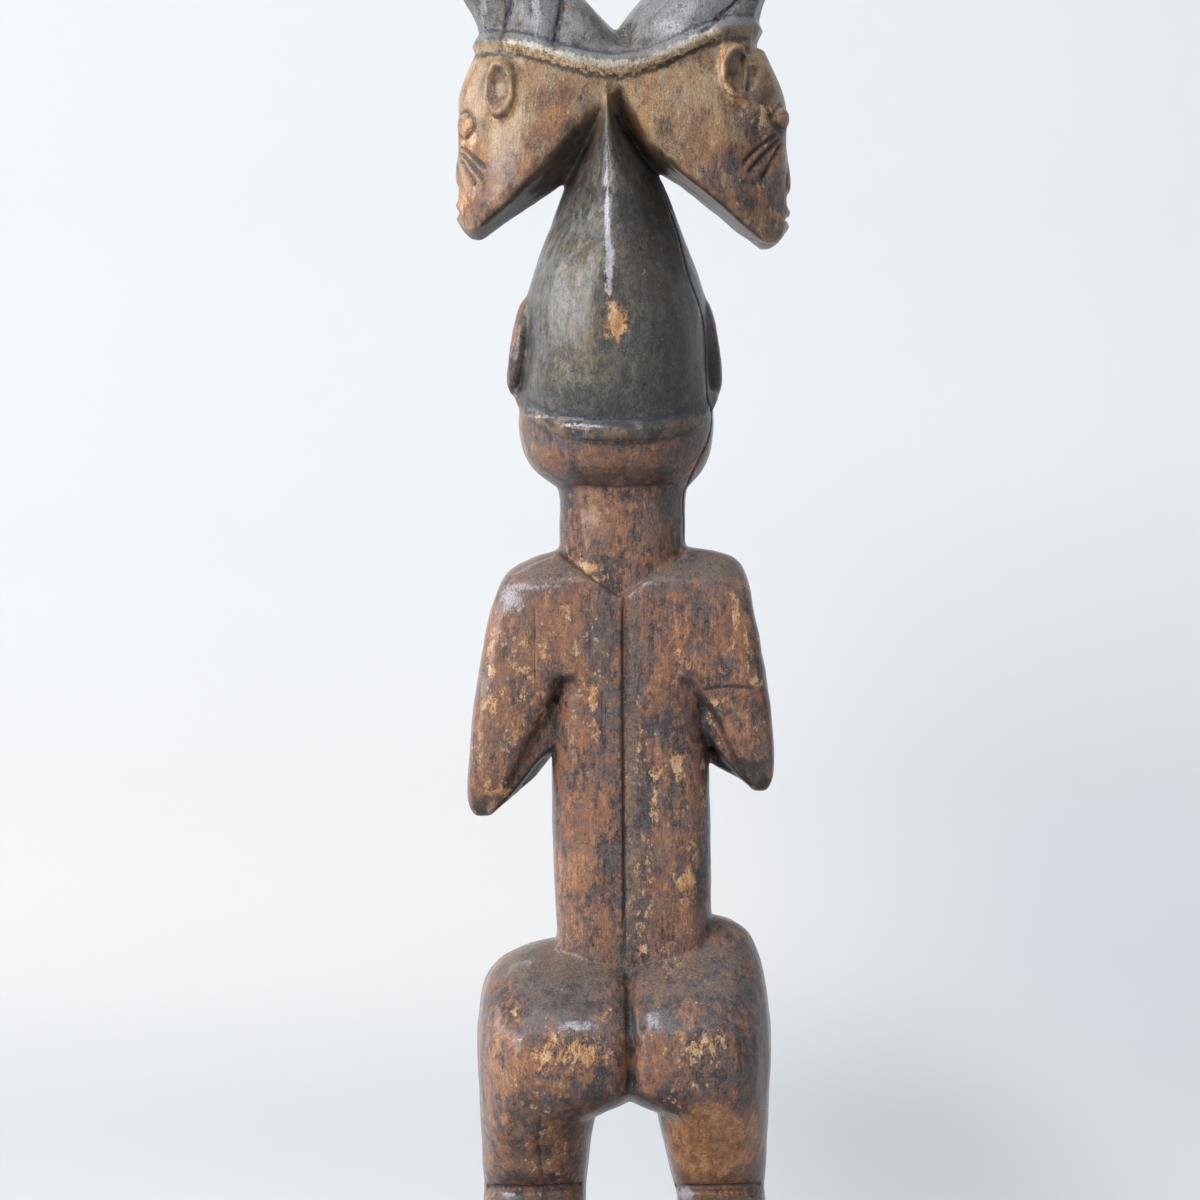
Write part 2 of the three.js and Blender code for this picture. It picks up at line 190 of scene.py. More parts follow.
def unevenness(spots, size, seed):
    """Soft seeded lumps of about that size in mm, between -1 and 1."""
    table = np.random.default_rng(seed).uniform(-1, 1, (64, 64, 64))
    scaled = spots / size + 17.3
    corner = np.floor(scaled).astype(int)
    part = scaled - corner
    part = part * part * (3 - 2 * part)
    total = np.zeros(len(spots))
    for i in (0, 1):
        for j in (0, 1):
            for k in (0, 1):
                x, y, z = ((corner + (i, j, k)) % 64).T
                share = np.abs(np.array((1 - i, 1 - j, 1 - k)) - part).prod(1)
                total += table[x, y, z] * share
    return total


# How things in the picture are found on the skin.


def seen_at(spots):
    """Where points fall in the picture, in its pixels."""
    scale = -CAMERA_MM[1] / (spots[:, 1] - CAMERA_MM[1]) / PIXEL_MM
    across = PICTURE / 2 + (spots[:, 0] - CAMERA_MM[0]) * scale
    down = PICTURE / 2 - (spots[:, 2] - CAMERA_MM[2]) * scale
    return across, down


def on_skin(piece, across, down, front=False):
    """The point of the skin behind a pixel, in mm, or the one that mirrors it on the front."""
    way = -1 if front else 1
    eye = Vector((CAMERA_MM[0], CAMERA_MM[1] * way, CAMERA_MM[2])) * MM
    aim = Vector(((across - PICTURE / 2) * PIXEL_MM, -CAMERA_MM[1] * way, (PICTURE / 2 - down) * PIXEL_MM))
    hit, spot, _, _ = piece.ray_cast(eye, aim.normalized())
    return np.array(spot) / MM if hit else None


def curve_through(corners, spacing):
    """A smooth line through points, with one every few mm."""
    corners = [np.array(c, float) for c in corners]
    corners = [2 * corners[0] - corners[1], *corners, 2 * corners[-1] - corners[-2]]
    line = []
    for before, start, end, after in zip(corners, corners[1:], corners[2:], corners[3:]):
        pieces = max(2, int(np.linalg.norm(end - start) / spacing))
        for i in range(pieces):
            t = i / pieces
            line.append(0.5 * (2 * start + (end - before) * t + (2 * before - 5 * start + 4 * end - after) * t * t
                               + (3 * start - before - 3 * end + after) * t ** 3))
    line.append(corners[-2])
    return np.array(line)


def line_on_skin(piece, pixels, front=False):
    """A line drawn in the picture, laid on the skin."""
    drawn = curve_through([(*p, 0) for p in pixels], 6)
    laid = [on_skin(piece, p[0], p[1], front) for p in drawn]
    return np.array([p for p in laid if p is not None])


def distance_along(spots, line, facing):
    """How far points are from a line, as measured along the skin, and how far along it they lie, 0 to 1."""
    nearest = np.full(len(spots), FAR_OFF)
    along = np.zeros(len(spots))
    lengths = np.linalg.norm(np.diff(line, axis=0), axis=1)
    total = lengths.sum()
    walked = 0
    for start, end, length in zip(line, line[1:], lengths):
        way = (end - start) / max(length, 1e-6)
        t = np.clip((spots - start) @ way, 0, length)
        offset = spots - start - t[:, None] * way
        offset -= 0.85 * (offset * facing).sum(1)[:, None] * facing
        apart = np.linalg.norm(offset, axis=1)
        closer = apart < nearest
        nearest[closer] = apart[closer]
        along[closer] = (walked + t[closer]) / total
        walked += length
    return nearest, along


class Skin:
    """The points of the carved piece while knives work on it, in mm."""

    def __init__(self, piece):
        self.piece = piece
        self.spots = places(piece)
        self.facing = facings(piece)
        self.cuts = []

    def settle(self):
        move_to(self.piece, self.spots)
        self.facing = facings(self.piece)
        bpy.context.view_layer.update()

    def near(self, low, high):
        return np.flatnonzero(((self.spots > low) & (self.spots < high)).all(1))

    def groove(self, line, wide, deep, pointed=True, taper=0.12):
        """A cut along a line. A pointed one has the section of a V, another is a hollow."""
        if len(line) < 2:
            return
        reach = wide * 0.5
        chosen = self.near(line.min(0) - wide, line.max(0) + wide)
        apart, along = distance_along(self.spots[chosen], line, self.facing[chosen])
        share = np.clip(1 - apart / reach, 0, 1)
        depth = deep * (share if pointed else share * share * (3 - 2 * share))
        if taper:
            depth = depth * step(along, 0, taper) * step(1 - along, 0, taper)
        self.spots[chosen] -= self.facing[chosen] * depth[:, None]
        if pointed:
            self.cuts.append((line, reach))

    def swell(self, middle, half, rise):
        """A soft boss, or a dent where rise is below 0, inside an egg of three half sizes."""
        middle, half = np.array(middle, float), np.array(half, float)
        chosen = self.near(middle - half.max() * 1.1, middle + half.max() * 1.1)
        inside = np.clip(1 - (((self.spots[chosen] - middle) / half) ** 2).sum(1), 0, 1)
        self.spots[chosen] += self.facing[chosen] * (rise * inside * inside)[:, None]


# The carved skin.


def sharp_places(piece):
    """Points along the solid's real edges, those that turn by more than a facet does, in mm."""
    solid = bmesh.new()
    solid.from_mesh(piece.data)
    spots = []
    for edge in solid.edges:
        start, end = (v.co / MM for v in edge.verts)
        middle = (start + end) / 2
        seam_of_slab = 274.6 < middle.z < 281 and abs(middle.x) < 50
        on_jaw = edge.is_convex and 434 < middle.z < 489 and 6 < abs(middle.y) < 27.4 and (
            abs(middle.x) < 34 or middle.z < 470) and abs(middle.x) < 50
        under_skull = edge.is_convex and CHIN_MM + 2 < middle.z < SKULL_MM - 6
        soft = seam_of_slab or on_jaw or under_skull
        if len(edge.link_faces) == 2 and edge.calc_face_angle(0) > CARVED_ANGLE and not soft:
            pieces = max(1, int((end - start).length / 0.6))
            spots += [start.lerp(end, i / pieces) for i in range(pieces + 1)]
    solid.free()
    return np.array([tuple(spot) for spot in spots])


def distances(spots, marks, reach=6):
    """How far each point is from the nearest mark, in mm, up to reach."""
    low = spots.min(0) - reach - 2
    cells = np.zeros(((spots.max(0) - low).astype(int) + reach + 4), bool)
    cells[tuple(np.round(marks - low).astype(int).T)] = True
    far = np.full(cells.shape, float(reach), np.float32)
    for apart in range(reach):
        far[cells & (far > apart)] = apart
        grown = cells.copy()
        for axis in range(3):
            grown |= np.roll(cells, 1, axis) | np.roll(cells, -1, axis)
        cells = grown
    return far[tuple(np.round(spots - low).astype(int).T)]


def rough_out():
    """The solid's form with an even skin: soft where its facets only stand for a curve, crisp at its edges."""
    staff = bpy.data.objects.new("carved_skin", frame["nodes"]["carved_staff"].data.copy())
    bpy.context.scene.collection.objects.link(staff)
    only(staff)
    bpy.ops.object.mode_set(mode="EDIT")
    bpy.ops.mesh.select_all(action="SELECT")
    bpy.ops.mesh.remove_doubles(threshold=1e-6)
    bpy.ops.object.mode_set(mode="OBJECT")
    sharp = sharp_places(staff)
    finish_modifier(staff, "REMESH", mode="VOXEL", voxel_size=GRAIN * 1,
                    use_smooth_shade=True)
    spots, ends = places(staff), edge_ends(staff)
    weight = 0.6 * (0.12 + 0.88 * step(distances(spots, sharp), 0.5, 5))
    weight = eased(weight, ends, np.full(len(spots), 0.5), 3)
    rounds = 75
    soft = eased(spots, ends, weight, rounds)
    spots = soft + eased(spots - soft, ends, weight, rounds)
    move_to(staff, eased(spots, ends, np.full(len(spots), 0.4), 2))
    bpy.context.view_layer.update()
    return staff


def carve_heads(skin):
    """The cheek marks, the partings and raised locks of the carried pair's hair, and the hollow of the right one's
    ear.
    """
    piece = skin.piece
    for front in (False, True):
        left_marks = [((461, 147), (474, 157), (487, 169)), ((461, 153), (472, 166), (484, 181)),
                      ((461, 161), (468, 173), (476, 186))]
        right_marks = [((777, 134), (758, 148), (741, 166)), ((779, 139), (763, 156), (747, 174)),
                       ((781, 144), (771, 163), (760, 182))]
        for marks in left_marks + right_marks:
            skin.groove(line_on_skin(piece, marks, front), 2.5, 1.3)
        partings = [((500, 41), (506, 20), (511, 0), (509, -32), (498, -75), (482, -115)),
                    ((554, 52), (558, 25), (562, 0), (556, -32), (536, -72), (503, -112)),
                    ((699, 35), (718, 17), (739, 0), (757, -32), (770, -75), (778, -115))]
        for parting in partings:
            laid = line_on_skin(piece, parting, front)
            skin.groove(laid, 9, 0.9, pointed=False, taper=0.05)
            skin.groove(laid, 2.2, 1.3, taper=0.05)
        skin.groove(line_on_skin(piece, ((622, 52), (645, 27), (671, 0), (706, -40), (744, -88)), front), 2, 0.5,
                    pointed=False)
        skin.groove(line_on_skin(piece, ((744, 46), (751, 68), (748, 94)), front), 8, 2.4, pointed=False)
        for lock in [((478, 30), (484, 8), (486, -20)), ((530, 40), (535, 12), (536, -20)),
                     ((592, 44), (586, 18), (580, -8)), ((664, 40), (696, 10), (716, -16))]:
            skin.groove(line_on_skin(piece, lock, front), 16, -0.9, pointed=False, taper=0.2)
    skin.settle()


def face_frame(side):
    """The way across, out and up of a face: side is -1 or 1 for the carried pair, 0 for the woman."""
    out = np.array((side, 0, 0) if side else (0, 1, 0), float)
    return np.array((-out[1], out[0], 0)), out, np.array((0, 0, 1.0))


def carve_face(skin, side, middle, face, chin, eyes, height, sunk, turn, wide):
    """Lids round each eye, wings and nostrils of the nose, and the parting of the lips."""
    across, out, up = face_frame(side)
    origin = np.array((middle, 0, 0))

    def at(along, ahead, z):
        return origin + across * along + out * ahead + up * z

    for way in (-1, 1):
        look = out * math.cos(turn) + across * way * math.sin(turn)
        level = across * way * math.cos(turn) - out * math.sin(turn)
        heart = at(way * eyes, face - sunk, chin + height)
        turned = [heart + level * wide * 1.18 * math.cos(a) + look * 1.4
                  + up * 5.3 * math.sin(a) * (1 - 0.25 * abs(math.cos(a))) for a in np.linspace(0, 2 * math.pi, 33)]
        skin.groove(np.array(turned), 2.0, 0.7, taper=0)
        lid = [heart + level * wide * 0.95 * t + up * (1.5 - 1.2 * t * t) + look * 3.0
               for t in np.linspace(-1, 1, 9)]
        skin.groove(np.array(lid), 1.3, 0.45, pointed=False)
        nostril = at(way * 3.0, face + 2.2, chin + 21.2)
        skin.swell(nostril, (1.7, 1.7, 1.5), -1.2)
        wing = [at(way * 6.4, face + 0.5, chin + 21.6), at(way * 6.6, face + 1, chin + 24.6),
                at(way * 4.4, face + 1.5, chin + 28)]
        skin.groove(np.array(wing), 1.6, 0.6)
        fold = [at(way * 4.5, face + 0.5, chin + 20), at(way * 8.5, face - 1.4, chin + 13)]
        skin.groove(np.array(fold), 2.2, 0.5, pointed=False)
    lips = [at(t * 8.2, face + 1.4 - 2.6 * t * t, chin + 11.7 - 0.9 * t * t) for t in np.linspace(-1, 1, 9)]
    skin.groove(np.array(lips), 1.7, 1.0, taper=0.08)
    skin.settle()


def carve_body(skin):
    """The creases behind the knees, cracks, the cut over the right elbow, fingers, toes and the navel."""
    piece = skin.piece
    for crease in [((480, 1186), (530, 1187), (582, 1184)), ((668, 1185), (715, 1186), (768, 1183))]:
        skin.groove(line_on_skin(piece, crease), 2.6, 0.9, taper=0.03)
    skin.groove(line_on_skin(piece, [(702, 690), (728, 687), (756, 689)]), 1.5, 0.55)
    skin.groove(line_on_skin(piece, [(623, 604), (623, 700), (624, 830), (625, 956)]), 1.8, 0.8, taper=0.04)
    cleft = [(628, 968), (630, 1010), (631, 1050), (631, 1092)]
    skin.groove(line_on_skin(piece, cleft), 5, 1.5, pointed=False, taper=0.1)
    skin.groove(line_on_skin(piece, [(572, 485), (622, 487), (678, 484)]), 1.8, 0.5, taper=0.1)
    skin.groove(line_on_skin(piece, [(563, 688), (541, 735), (505, 795)]), 1.4, 0.35, pointed=False)
    age_crack = [(664, 196), (677, 232), (688, 274), (699, 305), (705, 337), (707, 395), (712, 413), (708, 440),
                 (697, 464), (688, 484), (687, 515), (686, 546)]
    skin.groove(line_on_skin(piece, age_crack), 1.7, 1.9, taper=0.06)
    for crack in [[(534, 606), (535, 640), (534, 688)], [(601, 692), (602, 712), (601, 734)],
                  [(605, 700), (606, 730), (604, 756)], [(590, 590), (589, 620), (590, 655)],
                  [(541, 1112), (539, 1140), (543, 1180)]]:
        skin.groove(line_on_skin(piece, crack), 1.1, 0.6)
    for side in (-1, 1):
        for finger in (-1, 0, 1):
            tip = np.array((side * 9.5, 44 + finger * 0.4, 264.5 + finger * 3.4))
            knuckle = np.array((side * 20, 36, 261.5 + finger * 3.0))
            skin.groove(np.linspace(tip, knuckle, 6), 1.8, 0.9, pointed=False)
        for toe in range(-2, 2):
            x = side * 32.5 + (toe + 0.5) * 6.4
            between_toes = [(x, 47, SOLE_MM + 5), (x, 38, SOLE_MM + 9), (x * 0.995, 31, SOLE_MM + 11)]
            skin.groove(np.array(between_toes), 2.4, 1.5, pointed=False)
        skin.swell((side * 16, 45, 264), (2.6, 2.6, 2.6), 1.0)
    skin.swell((3.5, 27, 196), (4.5, 5, 4.5), 1.8)
    skin.swell((3.5, 29, 196), (1.6, 4, 1.6), -1.2)
    skin.settle()


def weather(skin):
    """Knife facets, slight waves and dents of long use."""
    spots = skin.spots
    waves = 0.3 * np.abs(unevenness(spots * (1, 1, 0.7), 9, 3)) + 0.09 * unevenness(spots * (1, 1, 0.45), 3.6, 4)
    streaks = 0.05 * unevenness(spots * (1, 1, 0.1), 1.5, 5)
    skin.spots = spots + skin.facing * (waves + streaks)[:, None]
    skin.settle()
    draw = np.random.default_rng(11)
    for _ in range(130):
        spot = skin.spots[draw.integers(len(skin.spots))]
        size = draw.uniform(1.0, 2.6)
        skin.swell(spot, (size, size, size * draw.uniform(1, 2)), -draw.uniform(0.2, 0.5))
    skin.settle()


def carved_skin():
    staff = rough_out()
    skin = Skin(staff)
    weather(skin)
    carve_heads(skin)
    carve_body(skin)
    carve_face(skin, 0, HEAD_MIDDLE_MM, 42.1, CHIN_MM, 14, 41, 1.8, 0.3, 7.6)
    carve_face(skin, -1, TWIN_MIDDLE_MM + 0.5, 57.2, TWIN_CHIN_MM, 11, 42, 2, 0.58, 5.2)
    carve_face(skin, 1, TWIN_MIDDLE_MM + 1.6, 57.2, TWIN_CHIN_MM - 2.6, 11, 47, 2, 0.58, 5.2)
    low, high = (np.array(corner) / MM for corner in SOLID_BOX)
    skin.spots = np.clip(skin.spots, low, high)
    skin.settle()
    finish_modifier(staff, "TRIANGULATE")
    share = MOST_TRIANGLES / len(staff.data.polygons)
    if share < 1:
        finish_modifier(staff, "DECIMATE", ratio=share)
        move_to(staff, np.clip(places(staff), low + INSIDE_MM, high - INSIDE_MM))
    only(staff)
    bpy.ops.object.shade_smooth()
    return staff, skin.cuts


# Where each finish lies on the skin.

HAIR = [(607, 104), (586, 146), (566, 184), (558, 205), (548, 232), (538, 262), (527, 290), (521, 330), (520, 365),
        (515, 395), (530, 420), (560, 438), (597, 445), (633, 448), (665, 444), (692, 432), (710, 414), (718, 396),
        (714, 330), (702, 290), (694, 262), (686, 240), (676, 216), (664, 187), (642, 150)]


def inside(across, down, corners):
    """How deep points lie inside an outline in the picture, in pixels; below 0 they are outside."""
    within = np.zeros(len(across), bool)
    nearest = np.full(len(across), FAR_OFF)
    for (x0, y0), (x1, y1) in zip(corners, corners[1:] + corners[:1]):
        crosses = (y0 > down) != (y1 > down)
        with np.errstate(divide="ignore", invalid="ignore"):
            within ^= crosses & (across < (x1 - x0) * (down - y0) / (y1 - y0) + x0)
        length = (x1 - x0) ** 2 + (y1 - y0) ** 2
        t = np.clip(((across - x0) * (x1 - x0) + (down - y0) * (y1 - y0)) / length, 0, 1)
        apart = np.hypot(across - x0 - t * (x1 - x0), down - y0 - t * (y1 - y0))
        nearest = np.minimum(nearest, apart)
    return np.where(within, nearest, -nearest)


# Marks on her back: across, down, half wide, half tall and strength, in the picture. Bare wood first, where the
# strength is the share that is bare, then wood rubbed to a warm brown, then black patina, the grey bloom of wax, and
# painted highlights. A few broad bare and warm marks lighten her left arm as painted light, some black marks are
# painted shade and some bloom marks are painted sheen.
BARE_AND_PAINTED_LIGHT = [
    (614, 322, 11, 15, 1), (608, 300, 4, 16, 0.8), (624, 318, 5, 14, 0.7), (591, 697, 5, 9, 1),
    (596, 726, 2.5, 10, 0.9), (655, 792, 6, 30, 0.75), (676, 766, 8, 14, 0.75), (689, 887, 8, 17, 1),
    (690, 793, 5, 8, 0.8), (642, 951, 6, 6, 1), (648, 881, 8, 7, 0.65), (671, 891, 5, 10, 0.7),
    (580, 1056, 30, 14, 0.8), (545, 1061, 12, 12, 0.75), (560, 1045, 44, 12, 0.6), (703, 1050, 22, 14, 0.6),
    (694, 764, 4, 28, 0.6), (694, 843, 3, 17, 0.7), (490, 706, 8, 9, 0.75), (491, 662, 3, 50, 0.6),
    (478, 760, 4, 40, 0.6), (489, 786, 9, 12, 0.7), (504, 790, 7, 8, 0.8), (544, 709, 5, 5, 0.6),
    (735, 606, 4, 24, 0.75), (749, 650, 3, 36, 0.75), (756, 685, 5, 5, 0.9), (720, 700, 11, 6, 0.75),
    (755, 729, 9, 11, 0.5), (681, 659, 7, 6, 0.85), (730, 643, 4, 4, 0.95), (674, 673, 5, 3, 0.75),
    (588, 567, 10, 4, 0.95), (600, 577, 8, 3, 0.9), (597, 590, 4, 2, 0.8), (652, 1034, 3, 5, 0.9),
    (604, 1012, 5, 5, 0.8), (512, 1010, 5, 4, 0.8), (700, 1080, 9, 4, 0.6), (469, 135, 7, 18, 0.85),
    (463, 208, 8, 9, 0.85), (478, 190, 5, 5, 0.7), (764, 112, 8, 12, 0.75), (776, 213, 9, 9, 0.8),
    (755, 190, 5, 8, 0.75), (740, 200, 7, 10, 0.5), (560, 620, 16, 34, 0.4), (700, 760, 14, 40, 0.45),
    (540, 1090, 40, 30, 0.35), (680, 960, 16, 40, 0.45), (640, 900, 16, 50, 0.5), (548, 1150, 24, 40, 0.35),
    (672, 1130, 8, 30, 0.4), (640, 770, 16, 60, 0.42), (512, 90, 3.5, 26, 0.75), (505, 65, 8, 3, 0.6),
    (499, 119, 9, 3, 0.7), (721, 68, 3.5, 22, 0.85), (728, 90, 4, 8, 0.8), (741, 103, 8, 4, 0.85),
    # The two broad marks over her left arm, at (540, 650) and (500, 740), lighten it as painted light, on the side
    # the lamps fall on.
    (766, 150, 6, 20, 0.6), (540, 650, 50, 60, 0.42), (500, 740, 20, 60, 0.42),
]
WARM_AND_PAINTED_LIGHT = [
    (548, 632, 34, 30, 0.8), (560, 660, 26, 24, 0.6), (510, 650, 16, 44, 0.7), (490, 770, 18, 34, 0.8),
    (580, 865, 20, 26, 0.9), (598, 912, 9, 16, 0.9), (566, 930, 12, 28, 0.7), (564, 790, 10, 56, 0.6),
    (665, 845, 12, 30, 0.8), (660, 1062, 26, 24, 0.7), (700, 1052, 36, 18, 0.6), (514, 1162, 18, 16, 0.7),
    (557, 1164, 14, 14, 0.7), (712, 1142, 46, 36, 1.4), (500, 1060, 20, 50, 0.6), (737, 735, 22, 20, 0.6),
    (600, 520, 22, 26, 0.9), (645, 530, 18, 22, 0.7), (600, 455, 60, 12, 0.7), (697, 800, 8, 70, 0.8),
    (540, 1115, 30, 22, 0.4), (560, 110, 30, 24, 0.7), (500, 200, 40, 36, 0.9), (536, 150, 24, 20, 0.5),
    (680, 140, 30, 24, 0.5), (740, 200, 44, 40, 0.95), (470, 150, 12, 30, 0.7), (700, 165, 26, 22, 0.5),
    (720, 620, 22, 40, 0.5), (660, 640, 18, 36, 0.5), (570, 300, 16, 60, 0.6), (600, 350, 30, 30, 0.5),
    # The two broad marks over her left arm, at (550, 640) and (500, 700), lighten it as painted light, on the side
    # the lamps fall on.
    (690, 930, 14, 30, 0.8), (652, 930, 8, 30, 0.6), (550, 640, 50, 60, 0.7), (500, 700, 24, 80, 0.7),
    (590, 760, 30, 80, 0.4), (530, 1140, 50, 40, 0.4), (712, 1142, 52, 40, 1), (765, 140, 14, 40, 0.8),
    (752, 170, 22, 60, 1), (480, 210, 30, 24, 0.9),
]
# Black patina, and in part painted shade: the marks in the buttock cleft, under the jaws of the carried heads, under
# the buttocks and over the right-hand side and lower part of her coiffure darken where shade falls.
BLACK_PATINA_AND_SHADE = [
    (604, 650, 12, 80, 0.7), (664, 725, 26, 16, 0.7), (645, 798, 7, 30, 0.9), (612, 868, 11, 28, 0.8),
    (594, 904, 5, 22, 0.8), (645, 915, 10, 22, 0.8), (661, 870, 7, 10, 0.8), (516, 790, 13, 16, 0.9),
    (482, 806, 8, 8, 0.7), (712, 714, 9, 26, 0.9), (745, 765, 28, 18, 1), (560, 1010, 52, 16, 0.9),
    (690, 1014, 40, 16, 0.8), (728, 1000, 18, 50, 0.8), (678, 1102, 38, 18, 1), (594, 1094, 30, 8, 0.9),
    (540, 1130, 4, 46, 0.8), (574, 1150, 6, 40, 0.8), (524, 1100, 16, 14, 0.6), (662, 1180, 40, 6, 0.7),
    (520, 1182, 44, 5, 0.8), (545, 192, 46, 7, 0.6), (578, 150, 14, 20, 0.6), (640, 172, 16, 10, 0.3),
    (692, 520, 12, 60, 1), (568, 520, 10, 50, 0.8), (545, 470, 24, 12, 0.6), (680, 462, 26, 14, 0.7),
    (558, 735, 6, 60, 0.7), (706, 860, 8, 80, 1), (550, 860, 5, 80, 0.6), (480, 1100, 10, 60, 0.3),
    (758, 1080, 14, 90, 0.7), (664, 250, 24, 80, 0.8), (690, 350, 20, 60, 0.6), (765, 700, 10, 70, 0.7),
    (514, 380, 8, 22, 0.9), (722, 370, 12, 50, 1), (640, 1000, 10, 30, 0.7), (766, 95, 14, 36, 0.6),
    (499, 92, 6, 17, 0.5), (741, 72, 8, 22, 0.6), (500, 214, 30, 10, 0.8), (540, 190, 34, 10, 0.8),
    (575, 158, 14, 18, 0.7), (631, 1052, 7, 56, 0.9), (680, 330, 40, 110, 0.7), (600, 420, 60, 24, 0.6),
    (756, 160, 22, 70, 0.6), (712, 1050, 30, 50, 0.8), (690, 1030, 54, 34, 0.5), (590, 985, 50, 20, 0.5),
    (670, 990, 50, 24, 0.5), (660, 400, 50, 40, 0.6), (771, 112, 4, 9, 0.9), (600, 1125, 12, 40, 0.7),
    (664, 1130, 8, 40, 0.5), (552, 720, 14, 30, 0.6),
]
# Grey wax bloom, and in part painted sheen: the pale marks on the hips, the shoulders, her left arm, the calves and
# the crests stand where the lamps are reflected.
BLOOM_AND_SHEEN = [
    (575, 1020, 36, 16, 0.9), (653, 1018, 14, 22, 0.9), (512, 610, 18, 30, 0.9), (545, 592, 44, 8, 0.8),
    (500, 660, 12, 50, 0.5), (650, 585, 30, 7, 0.7), (560, 260, 22, 90, 0.35), (686, 1192, 14, 9, 1),
    (512, 1194, 16, 8, 1), (600, 700, 14, 60, 0.6), (590, 620, 18, 40, 0.6), (640, 640, 8, 60, 0.5),
    (650, 520, 14, 14, 0.9), (664, 502, 18, 6, 0.9), (600, 540, 10, 20, 0.6), (722, 585, 34, 14, 0.6),
    (520, 570, 30, 10, 0.7), (540, 975, 50, 20, 0.5), (700, 975, 40, 20, 0.5), (545, 20, 14, 30, 0.9),
    (580, 35, 16, 18, 0.6), (670, 30, 24, 20, 0.9), (486, 20, 8, 24, 0.6), (720, 40, 20, 12, 0.5),
    (600, 100, 34, 12, 0.5), (690, 95, 30, 14, 0.5), (500, 95, 8, 20, 0.5), (775, 640, 5, 60, 0.8),
    (466, 700, 5, 80, 0.8), (486, 690, 16, 60, 0.6), (484, 1010, 8, 40, 0.6), (762, 1100, 10, 80, 0.6),
    (560, 440, 30, 5, 0.7), (655, 860, 16, 70, 0.5), (580, 820, 14, 60, 0.35), (545, 20, 60, 40, 0.6),
    (690, 20, 60, 40, 1),
]
# Painted highlights: narrow bright marks where the lamps are reflected, on the keel and rim of her hair, the
# shoulders, hips, calves, crests and neck.
PAINTED_HIGHLIGHTS = [
    (607, 225, 2.2, 56, 1), (606, 185, 1.6, 34, 0.9), (609, 268, 4.5, 30, 0.9), (512, 598, 12, 14, 0.7),
    (530, 586, 34, 3, 0.7), (583, 425, 20, 2, 1), (540, 416, 16, 2, 0.7), (578, 1026, 20, 5, 0.8),
    (653, 1020, 8, 10, 0.7), (536, 10, 5, 34, 0.7), (588, 30, 4, 22, 0.5), (668, 26, 16, 10, 0.7),
    (690, 10, 10, 8, 0.6), (686, 1193, 8, 6, 0.9), (510, 1195, 10, 4, 0.8), (660, 503, 12, 2.5, 0.6),
    (484, 4, 4, 26, 0.6), (648, 584, 12, 2.5, 0.6),
]


def rubbed(spots, across, down, marks, torn_by=1.0):
    """How strongly each point lies in a set of marks, whose outlines are torn along the grain."""
    torn = across + torn_by * (5 * unevenness(spots, 6, 21) + 2.5 * unevenness(spots * (1, 1, 0.4), 2.2, 22))
    ragged = down + torn_by * (9 * unevenness(spots * (1, 1, 0.6), 7, 23)
                               + 4 * unevenness(spots * (1, 1, 0.4), 2.4, 24))
    total = np.zeros(len(across))
    for x, y, wide, tall, strength in marks:
        apart = np.hypot((torn - x) / wide, (ragged - y) / tall)
        total = np.maximum(total, strength * np.clip(1.5 - 0.8 * apart, 0, 1))
    return total


def mark(piece, name, values):
    attribute = piece.data.attributes.new(name, "FLOAT", "POINT")
    attribute.data.foreach_set("value", np.clip(values, 0, 1).astype(np.float32))


def hem_height(spots):
    """How high the middle of the carried heads' hem lies over each point."""
    reach = np.abs(spots[:, 0] + 1.7)
    return 493.5 + np.where(spots[:, 0] < -1.7, 9.5, 15) * step(reach, 0, 46)


def hairline_height(spots):
    """How high the middle of the woman's hairline lies at each point."""
    turn = np.arctan2(spots[:, 1], spots[:, 0] - HEAD_MIDDLE_MM)
    ahead = np.sin(turn)
    return 363 + 17 * np.minimum(1, 1 + ahead) + 27 * step(ahead, 0, 0.7)


def cut_marks(spots, facing, cuts):
    """How deep each point lies in one of the knife's lines."""
    deep = np.zeros(len(spots))
    for line, reach in cuts:
        low, high = line.min(0) - reach - 2, line.max(0) + reach + 2
        chosen = np.flatnonzero(((spots > low) & (spots < high)).all(1))
        apart, _ = distance_along(spots[chosen], line, facing[chosen])
        deep[chosen] = np.maximum(deep[chosen], 1.25 * np.clip(1 - apart / reach, 0, 1))
    return deep


